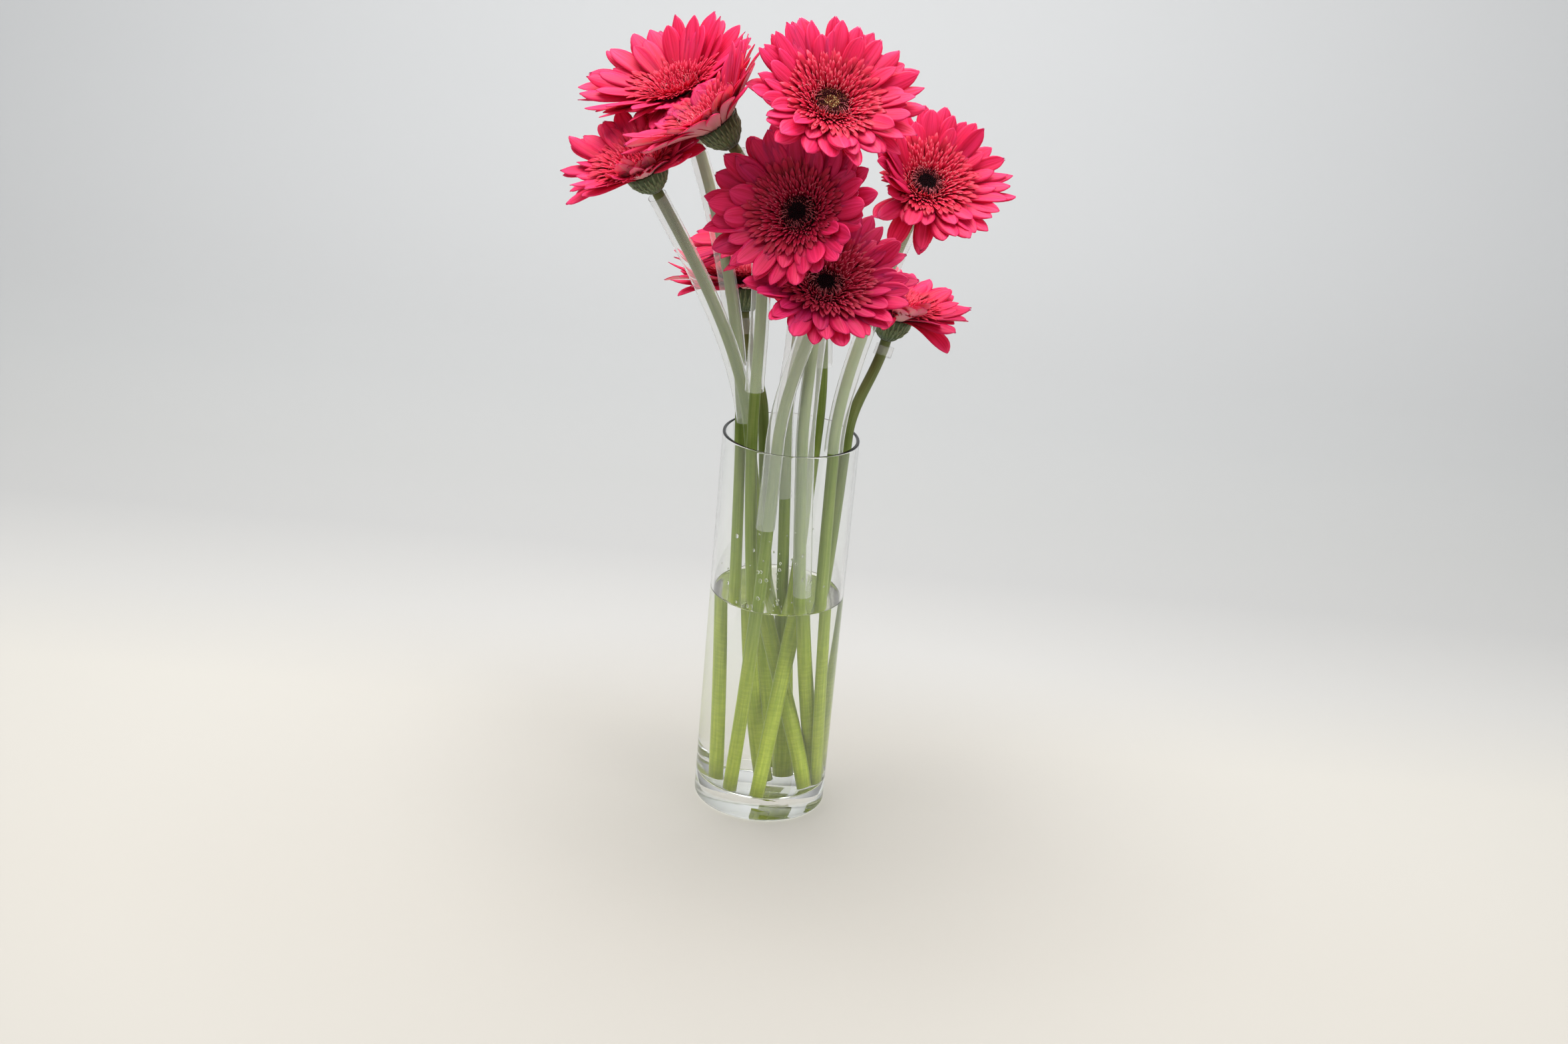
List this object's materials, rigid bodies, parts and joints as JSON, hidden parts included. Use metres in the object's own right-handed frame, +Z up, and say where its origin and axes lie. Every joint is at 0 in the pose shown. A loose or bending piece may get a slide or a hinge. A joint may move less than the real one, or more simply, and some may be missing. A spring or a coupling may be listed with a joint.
{
  "type": "gerberas in a vase",
  "caption": "Cut gerberas with long bare stems and clear stem sleeves, standing in a clear glass cylinder vase part filled with water.",
  "frame": {"origin": "centre of the vase's flat underside, on the surface it stands on", "axes": "+Z up along the vase's axis, -Y towards the front of the arrangement, +X to the right seen from the front"},
  "size_m": [0.3096, 0.2855, 0.596],
  "materials": {
    "glass": "clear polished soda glass with a faint green tint in the thick base",
    "water": "still clear water",
    "stem": "matte green stem with fine hairs, and a darker calyx of narrow bracts",
    "sleeve": "thin clear plastic tube, slightly milky",
    "petals": "satin coral-pink petals with faint lengthwise grooves",
    "frill": "short crimson florets with pale tips",
    "eye": "dark maroon button of unopened florets"
  },
  "bodies": {
    "root": {"vase": "glass", "water": "water", "stem_1": "stem", "sleeve_1": "sleeve", "petals_1": "petals", "frill_1": "frill", "eye_1": "eye", "stem_2": "stem", "sleeve_2": "sleeve", "petals_2": "petals", "frill_2": "frill", "eye_2": "eye", "stem_3": "stem", "sleeve_3": "sleeve", "petals_3": "petals", "frill_3": "frill", "eye_3": "eye", "stem_4": "stem", "sleeve_4": "sleeve", "petals_4": "petals", "frill_4": "frill", "eye_4": "eye", "stem_5": "stem", "sleeve_5": "sleeve", "petals_5": "petals", "frill_5": "frill", "eye_5": "eye", "stem_6": "stem", "sleeve_6": "sleeve", "petals_6": "petals", "frill_6": "frill", "eye_6": "eye", "stem_7": "stem", "sleeve_7": "sleeve", "petals_7": "petals", "frill_7": "frill", "eye_7": "eye", "stem_8": "stem", "sleeve_8": "sleeve", "petals_8": "petals", "frill_8": "frill", "eye_8": "eye", "stem_9": "stem", "sleeve_9": "sleeve", "petals_9": "petals", "frill_9": "frill", "eye_9": "eye", "stem_10": "stem", "sleeve_10": "sleeve", "petals_10": "petals", "frill_10": "frill", "eye_10": "eye"}
  },
  "joints": []
}
